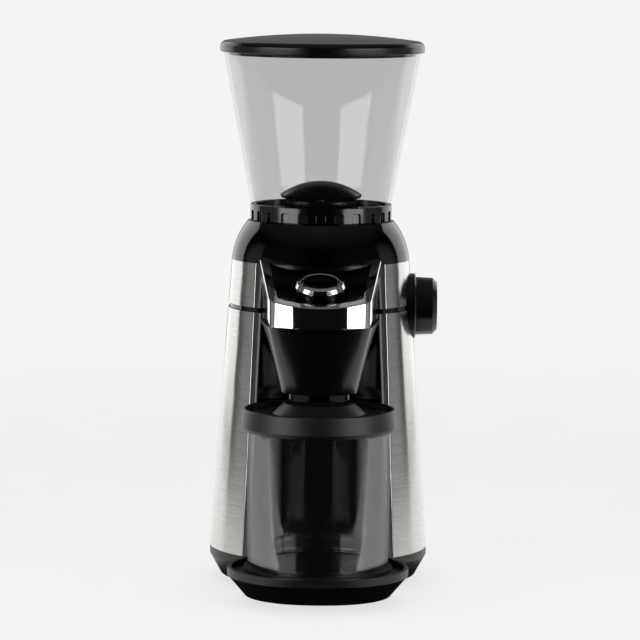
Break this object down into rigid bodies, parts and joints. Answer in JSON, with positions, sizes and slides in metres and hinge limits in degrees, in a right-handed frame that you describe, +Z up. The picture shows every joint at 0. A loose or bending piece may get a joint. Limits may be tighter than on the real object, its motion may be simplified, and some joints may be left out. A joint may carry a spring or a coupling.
{
  "type": "burr coffee grinder",
  "caption": "Free-standing electric burr coffee grinder with a tapered steel body, smoked clear bean hopper, lidded grounds cup on a tray, push start button and side timer knob.",
  "frame": {"origin": "on the table under the middle of the whole object's box", "axes": "+Z up, the front with the cup and the start button faces -Y, the timer knob is on +X"},
  "size_m": [0.1648, 0.2334, 0.4],
  "materials": {
    "gloss_black_plastic": "gloss",
    "satin_black_plastic": "satin",
    "brushed_steel": "brushed round the body",
    "chromed_plastic": "polished",
    "smoked_clear_plastic": "clear, smoked",
    "rubber": "matt",
    "hardened_steel": "ground",
    "zinc_plated_steel": "plated",
    "sintered_bronze": "sintered",
    "copper": "bare",
    "ferrite": "sintered",
    "die_cast_zinc": "as cast",
    "white_gear_plastic": "moulded",
    "circuit_board": "lacquered"
  },
  "bodies": {
    "housing": {"base_tray": "gloss_black_plastic", "bottom_cover": "satin_black_plastic", "rubber_feet": "rubber", "cover_screws": "zinc_plated_steel", "body_housing": "satin_black_plastic", "lower_steel_shell": "brushed_steel", "seam_ring": "gloss_black_plastic", "upper_steel_band": "brushed_steel", "head_housing": "satin_black_plastic", "head_cover": "gloss_black_plastic", "cord_inlet": "satin_black_plastic", "control_panel": "gloss_black_plastic", "chrome_bezel": "chromed_plastic", "chute_funnel": "satin_black_plastic", "spout_nozzle": "satin_black_plastic", "button_collar": "gloss_black_plastic", "button_spring": "zinc_plated_steel", "switch_bracket": "satin_black_plastic", "start_switch": "satin_black_plastic", "knob_escutcheon": "gloss_black_plastic", "timer_pot": "zinc_plated_steel", "motor_can": "zinc_plated_steel", "motor_end_bell": "satin_black_plastic", "motor_bearings": "sintered_bronze", "motor_magnets": "ferrite", "motor_brushes": "copper", "frame_posts": "zinc_plated_steel", "gear_plate": "zinc_plated_steel", "ring_gear": "die_cast_zinc", "gear_cover": "die_cast_zinc", "burr_bearing": "sintered_bronze", "burr_chamber": "satin_black_plastic", "control_board": "circuit_board", "hopper_switch": "satin_black_plastic"},
    "rotor": {"rotor_core": "copper", "motor_shaft": "hardened_steel", "commutator": "copper", "sun_gear": "white_gear_plastic"},
    "burr_drive": {"planet_carrier": "die_cast_zinc", "burr_shaft": "hardened_steel", "ejector": "satin_black_plastic", "cone_burr": "hardened_steel", "burr_nut": "zinc_plated_steel"},
    "planet_1": {"planet_gear_1": "white_gear_plastic"},
    "planet_2": {"planet_gear_2": "white_gear_plastic"},
    "planet_3": {"planet_gear_3": "white_gear_plastic"},
    "setting_ring": {"adjusting_ring": "gloss_black_plastic"},
    "burr_holder": {"burr_carrier": "satin_black_plastic", "ring_burr": "hardened_steel"},
    "hopper": {"hopper": "smoked_clear_plastic", "hopper_floor": "satin_black_plastic", "bean_guard": "satin_black_plastic"},
    "hopper_lid": {"hopper_lid": "gloss_black_plastic"},
    "start_button": {"button_ring": "chromed_plastic", "button_cap": "gloss_black_plastic"},
    "timer_knob": {"timer_knob": "gloss_black_plastic", "knob_disc": "brushed_steel", "pot_shaft": "zinc_plated_steel"},
    "cup": {"grounds_cup": "smoked_clear_plastic"},
    "cup_lid": {"cup_lid": "gloss_black_plastic"}
  },
  "joints": [
    {"name": "rotor_spin", "type": "hinge", "parent": "housing", "child": "rotor", "pos_m": [-0.00286, 0.03725, 0.1], "axis": [0, 0, 1], "continuous": true},
    {"name": "burr_spin", "type": "hinge", "parent": "housing", "child": "burr_drive", "pos_m": [-0.00286, 0.03725, 0.2], "axis": [0, 0, 1], "continuous": true},
    {"name": "planet_1_spin", "type": "hinge", "parent": "burr_drive", "child": "planet_1", "pos_m": [0.01514, 0.03725, 0.158], "axis": [0, 0, 1], "continuous": true},
    {"name": "planet_2_spin", "type": "hinge", "parent": "burr_drive", "child": "planet_2", "pos_m": [-0.01186, 0.05284, 0.158], "axis": [0, 0, 1], "continuous": true},
    {"name": "planet_3_spin", "type": "hinge", "parent": "burr_drive", "child": "planet_3", "pos_m": [-0.01186, 0.02166, 0.158], "axis": [0, 0, 1], "continuous": true},
    {"name": "setting_turn", "type": "hinge", "parent": "housing", "child": "setting_ring", "pos_m": [-0.00286, 0.03725, 0.27], "axis": [0, 0, 1], "range_deg": [0, 210]},
    {"name": "burr_lift", "type": "slide", "parent": "housing", "child": "burr_holder", "axis": [0, 0, 1], "range_m": [0, 0.00175]},
    {"name": "hopper_lift", "type": "slide", "parent": "setting_ring", "child": "hopper", "axis": [0, 0, 1], "range_m": [0, 0.06]},
    {"name": "lid_lift", "type": "slide", "parent": "hopper", "child": "hopper_lid", "axis": [0, 0, 1], "range_m": [0, 0.05]},
    {"name": "button_press", "type": "slide", "parent": "housing", "child": "start_button", "axis": [0, 0.309, -0.9511], "range_m": [0, 0.0015], "stiffness_N_per_m": 400, "springref_m": -0.003, "deforming": ["button_spring"]},
    {"name": "knob_turn", "type": "hinge", "parent": "housing", "child": "timer_knob", "pos_m": [0.07214, 0.03725, 0.202], "axis": [1, 0, 0], "range_deg": [0, 270]},
    {"name": "cup_slide", "type": "slide", "parent": "housing", "child": "cup", "axis": [0, -1, 0], "range_m": [0, 0.13]},
    {"name": "cup_lid_turn", "type": "hinge", "parent": "cup", "child": "cup_lid", "pos_m": [-0.00286, -0.05475, 0.13], "axis": [0, 0, 1], "continuous": true}
  ],
  "couplings": [
    {"joint": "burr_spin", "follows": "rotor_spin", "ratio": 0.25},
    {"joint": "planet_1_spin", "follows": "rotor_spin", "ratio": -0.75},
    {"joint": "planet_2_spin", "follows": "rotor_spin", "ratio": -0.75},
    {"joint": "planet_3_spin", "follows": "rotor_spin", "ratio": -0.75},
    {"joint": "burr_lift", "follows": "setting_turn", "m_per_rad": 0.00047746}
  ]
}
